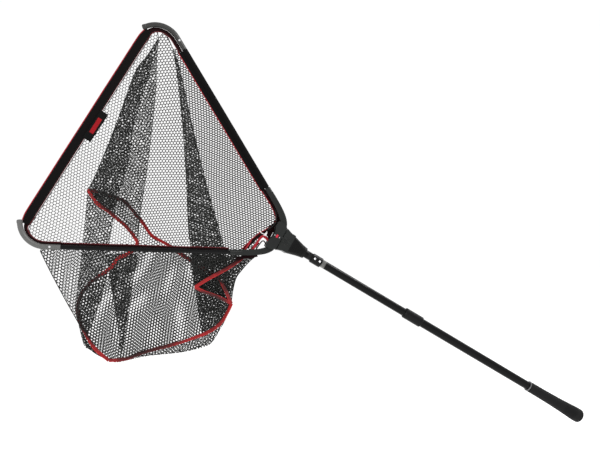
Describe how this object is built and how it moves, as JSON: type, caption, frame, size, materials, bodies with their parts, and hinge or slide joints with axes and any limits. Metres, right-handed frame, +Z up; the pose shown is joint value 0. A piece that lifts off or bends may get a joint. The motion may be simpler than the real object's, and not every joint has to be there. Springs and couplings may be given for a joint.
{
  "type": "folding landing net",
  "caption": "Folding triangular landing net with a rubber-coated mesh bag, fabric front strap, flip joint and telescopic twist-lock handle.",
  "frame": {"origin": "centre of the flat face at the butt end of the grip", "axes": "+X from the net towards the butt side, horizontal; +Z up; +Y to the side on which the bag hangs; the handle runs up and towards -X at 30 degrees to the horizontal, and the net mouth lies in the XZ plane"},
  "size_m": [1.701, 0.2119, 1.1902],
  "materials": {
    "black_anodised_tube": "satin black anodised",
    "grip_rubber": "matt, fine ribs",
    "inner_plastic": "moulded",
    "grey_ring": "satin",
    "collar_plastic": "moulded, satin",
    "bright_alloy": "turned, grooved",
    "dark_alloy": "satin black",
    "joint_black": "satin black",
    "bright_steel": "polished",
    "hub_plastic": "moulded, dark grey",
    "red_badge": "plain red inlay",
    "boot_rubber": "moulded ribs",
    "gloss_black_tube": "gloss black",
    "elbow_grey": "satin grey",
    "black_webbing": "woven, red piping on one edge",
    "woven_tag": "woven, plain red bar",
    "coated_mesh": "rubber-coated knotless mesh"
  },
  "bodies": {
    "handle": {"lower_tube": "black_anodised_tube", "grip_sleeve": "grip_rubber", "grip_ring": "grey_ring", "butt_cap": "grip_rubber", "butt_plug": "inner_plastic", "collet": "inner_plastic"},
    "twist_collar_body": {"twist_collar": "collar_plastic"},
    "extension": {"upper_tube": "black_anodised_tube", "guide_bush": "inner_plastic", "handle_tongue": "bright_alloy"},
    "link": {"joint_link": "joint_black", "joint_pin_rear": "bright_steel", "joint_pin_front": "bright_steel"},
    "head": {"head_tongue": "dark_alloy", "neck_tube": "black_anodised_tube", "spring_ring": "bright_steel", "slide_spring": "bright_steel", "hub_core": "hub_plastic", "hub_front_cover": "hub_plastic", "hub_rear_cover": "hub_plastic", "hub_badge": "red_badge", "hub_screws": "bright_steel", "arm_pivot_pins": "bright_steel", "front_strap": "black_webbing", "strap_tag": "woven_tag", "net_front_wall": "coated_mesh", "net_upper_wall": "coated_mesh", "net_lower_wall": "coated_mesh", "net_base": "coated_mesh"},
    "slide_lock": {"slide_body": "hub_plastic", "slide_boot": "boot_rubber"},
    "arm_upper": {"upper_arm_socket": "hub_plastic", "upper_arm_tube": "gloss_black_tube", "top_elbow": "elbow_grey", "top_elbow_rivet": "bright_steel", "top_strap_knob": "elbow_grey", "upper_arm_sleeve": "black_webbing"},
    "arm_lower": {"lower_arm_socket": "hub_plastic", "lower_arm_tube": "gloss_black_tube", "left_elbow": "elbow_grey", "left_elbow_rivet": "bright_steel", "left_strap_knob": "elbow_grey", "lower_arm_hem": "black_webbing"}
  },
  "joints": [
    {"name": "collar_twist", "type": "hinge", "parent": "handle", "child": "twist_collar_body", "pos_m": [-0.56205, 0, 0.3245], "axis": [0.866, 0, -0.5], "range_deg": [0, 90]},
    {"name": "handle_extend", "type": "slide", "parent": "handle", "child": "extension", "axis": [-0.866, 0, 0.5], "range_m": [0, 0.46]},
    {"name": "flip_rear", "type": "hinge", "parent": "extension", "child": "link", "pos_m": [-0.85451, 0, 0.49335], "axis": [0, 1, 0], "range_deg": [0, 70]},
    {"name": "flip_front", "type": "hinge", "parent": "link", "child": "head", "pos_m": [-0.86888, 0, 0.50165], "axis": [0, 1, 0], "range_deg": [0, 70]},
    {"name": "arm_upper_fold", "type": "hinge", "parent": "head", "child": "arm_upper", "pos_m": [-0.96251, 0, 0.58688], "axis": [0, -1, 0], "range_deg": [0, 25], "deforming": ["front_strap", "strap_tag"]},
    {"name": "arm_lower_fold", "type": "hinge", "parent": "head", "child": "arm_lower", "pos_m": [-0.98951, 0, 0.54012], "axis": [0, -1, 0], "range_deg": [-25, 0]},
    {"name": "slide_draw", "type": "slide", "parent": "head", "child": "slide_lock", "axis": [0.866, 0, -0.5], "range_m": [0, 0.005], "deforming": ["slide_spring"]}
  ],
  "couplings": [
    {"joint": "arm_lower_fold", "follows": "arm_upper_fold", "ratio": -1},
    {"joint": "slide_draw", "follows": "arm_upper_fold", "m_per_rad": 0.011459}
  ]
}
